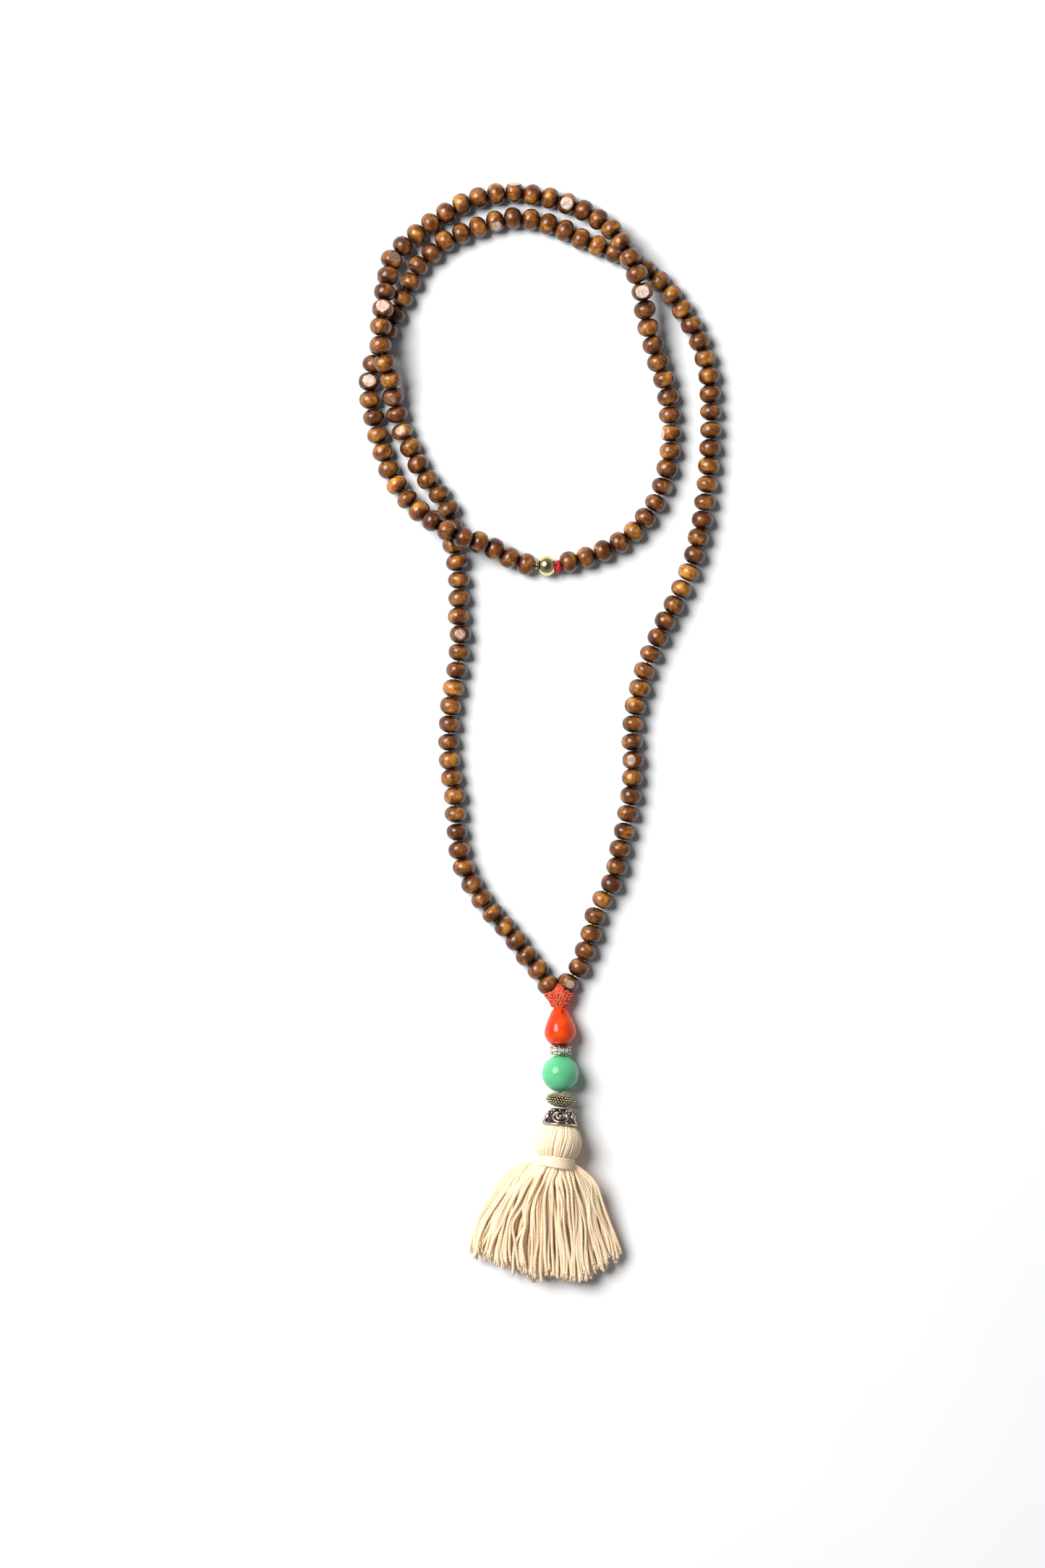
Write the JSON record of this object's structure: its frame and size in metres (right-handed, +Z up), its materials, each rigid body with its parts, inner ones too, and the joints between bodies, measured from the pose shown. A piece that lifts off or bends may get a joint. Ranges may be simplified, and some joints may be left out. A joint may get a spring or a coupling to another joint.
{
  "type": "mala prayer beads",
  "caption": "String of varnished wooden prayer beads laid as a double loop, with a coral drop, green bead, silver cap and cream cotton tassel.",
  "frame": {"origin": "under the middle of the whole object, on the surface it lies on", "axes": "+X to the right, +Y from the tassel towards the double loop, +Z up out of the surface"},
  "size_m": [0.138, 0.4208, 0.0183],
  "materials": {
    "varnished_wood": "varnished brown hardwood with golden grain",
    "stringing_cord": "dark waxed braided cord",
    "red_thread": "tight red thread knot",
    "gold": "polished pale gold plate",
    "coral_thread": "coral crochet thread",
    "coral": "glossy orange-red dyed coral",
    "silver_gilt": "pale gold plated ring",
    "clear_stones": "clear faceted paste stones",
    "green_stone": "polished translucent green stone",
    "antique_pewter": "antiqued pewter with worn highlights",
    "antique_silver": "antiqued silver with dark recesses",
    "core_wood": "plain turned wood",
    "cream_cotton": "cream two-ply cotton yarn"
  },
  "bodies": {
    "crossing": {"beads_crossing_left": "varnished_wood", "cord_crossing_left": "stringing_cord", "beads_crossing_middle": "varnished_wood", "cord_crossing_middle": "stringing_cord", "beads_crossing_right": "varnished_wood", "cord_crossing_right": "stringing_cord", "marker_knot": "red_thread", "gold_crimp": "gold"},
    "shoulder": {"beads_shoulder_first_left": "varnished_wood", "cord_shoulder_first_left": "stringing_cord", "beads_shoulder_first_right": "varnished_wood", "cord_shoulder_first_right": "stringing_cord", "beads_shoulder_second_left": "varnished_wood", "cord_shoulder_second_left": "stringing_cord", "beads_shoulder_second_right": "varnished_wood", "cord_shoulder_second_right": "stringing_cord"},
    "crown": {"beads_crown_first": "varnished_wood", "cord_crown_first": "stringing_cord", "beads_crown_second": "varnished_wood", "cord_crown_second": "stringing_cord"},
    "lower1": {"beads_lower1_left": "varnished_wood", "cord_lower1_left": "stringing_cord", "beads_lower1_right": "varnished_wood", "cord_lower1_right": "stringing_cord"},
    "lower2": {"beads_lower2_left": "varnished_wood", "cord_lower2_left": "stringing_cord", "beads_lower2_right": "varnished_wood", "cord_lower2_right": "stringing_cord"},
    "lower3": {"beads_lower3_left": "varnished_wood", "cord_lower3_left": "stringing_cord", "beads_lower3_right": "varnished_wood", "cord_lower3_right": "stringing_cord"},
    "lower4": {"beads_lower4_left": "varnished_wood", "cord_lower4_left": "stringing_cord", "beads_lower4_right": "varnished_wood", "cord_lower4_right": "stringing_cord"},
    "lower5": {"beads_lower5_left": "varnished_wood", "cord_lower5_left": "stringing_cord", "beads_lower5_right": "varnished_wood", "cord_lower5_right": "stringing_cord"},
    "gold_bead": {"gold_bead": "gold"},
    "pendant": {"star_knot": "coral_thread", "pendant_cord": "stringing_cord"},
    "coral_drop": {"coral_drop": "coral"},
    "rondelle": {"rondelle_ring": "silver_gilt", "rondelle_stones": "clear_stones"},
    "green_bead": {"green_bead": "green_stone"},
    "bicone": {"granulated_bicone": "antique_pewter"},
    "tassel": {"tassel_cord": "stringing_cord", "pendant_end_knot": "stringing_cord", "tassel_core_ball": "core_wood", "tassel_head_yarn": "cream_cotton", "neck_binding": "cream_cotton"},
    "bead_cap": {"bead_cap": "antique_silver"},
    "skirt": {"tassel_skirt": "cream_cotton"}
  },
  "joints": [
    {"name": "shoulder_fold", "type": "hinge", "parent": "crossing", "child": "shoulder", "pos_m": [0, 0.09013, 0.00405], "axis": [1, 0, 0], "range_deg": [0, 15]},
    {"name": "crown_fold", "type": "hinge", "parent": "shoulder", "child": "crown", "pos_m": [0, 0.11796, 0.00405], "axis": [1, 0, 0], "range_deg": [0, 15]},
    {"name": "strand_fold_1", "type": "hinge", "parent": "crossing", "child": "lower1", "pos_m": [0, 0.05994, 0.00405], "axis": [-1, 0, 0], "range_deg": [0, 15]},
    {"name": "strand_fold_2", "type": "hinge", "parent": "lower1", "child": "lower2", "pos_m": [0, 0.02718, 0.00405], "axis": [-1, 0, 0], "range_deg": [0, 15]},
    {"name": "strand_fold_3", "type": "hinge", "parent": "lower2", "child": "lower3", "pos_m": [0, 0.00013, 0.00405], "axis": [-1, 0, 0], "range_deg": [0, 15]},
    {"name": "strand_fold_4", "type": "hinge", "parent": "lower3", "child": "lower4", "pos_m": [0, -0.03408, 0.00405], "axis": [-1, 0, 0], "range_deg": [0, 15]},
    {"name": "strand_fold_5", "type": "hinge", "parent": "lower4", "child": "lower5", "pos_m": [0, -0.06612, 0.00405], "axis": [-1, 0, 0], "range_deg": [0, 15]},
    {"name": "pendant_lift", "type": "hinge", "parent": "lower5", "child": "pendant", "pos_m": [0.0066, -0.0986, 0.00405], "axis": [-1, 0, 0], "range_deg": [0, 20]},
    {"name": "coral_drop_spin", "type": "hinge", "parent": "pendant", "child": "coral_drop", "pos_m": [0.00695, -0.11118, 0.00611], "axis": [0.0064, -0.9976, 0.0692], "continuous": true},
    {"name": "rondelle_spin", "type": "hinge", "parent": "pendant", "child": "rondelle", "pos_m": [0.00701, -0.12066, 0.00676], "axis": [0.0064, -0.9976, 0.0692], "continuous": true},
    {"name": "green_bead_spin", "type": "hinge", "parent": "pendant", "child": "green_bead", "pos_m": [0.00706, -0.12934, 0.00737], "axis": [0.0064, -0.9976, 0.0692], "continuous": true},
    {"name": "bicone_spin", "type": "hinge", "parent": "pendant", "child": "bicone", "pos_m": [0.00713, -0.13931, 0.00806], "axis": [-0.1328, -0.9888, 0.0686], "continuous": true},
    {"name": "tassel_sway", "type": "hinge", "parent": "pendant", "child": "tassel", "pos_m": [0.00715, -0.14236, 0.00827], "axis": [0, 0, 1], "range_deg": [-12, 12]},
    {"name": "bead_cap_spin", "type": "hinge", "parent": "tassel", "child": "bead_cap", "pos_m": [0.00715, -0.14261, 0.00829], "axis": [-0.0755, -0.9949, 0.0672], "continuous": true},
    {"name": "skirt_lift", "type": "hinge", "parent": "tassel", "child": "skirt", "pos_m": [0.0055, -0.16628, 0.01649], "axis": [-1, 0, 0], "range_deg": [0, 20]},
    {"name": "gold_bead_spin", "type": "hinge", "parent": "crossing", "child": "gold_bead", "pos_m": [0.00196, 0.06386, 0.00405], "axis": [-0.9998, -0.02, 0], "continuous": true}
  ]
}
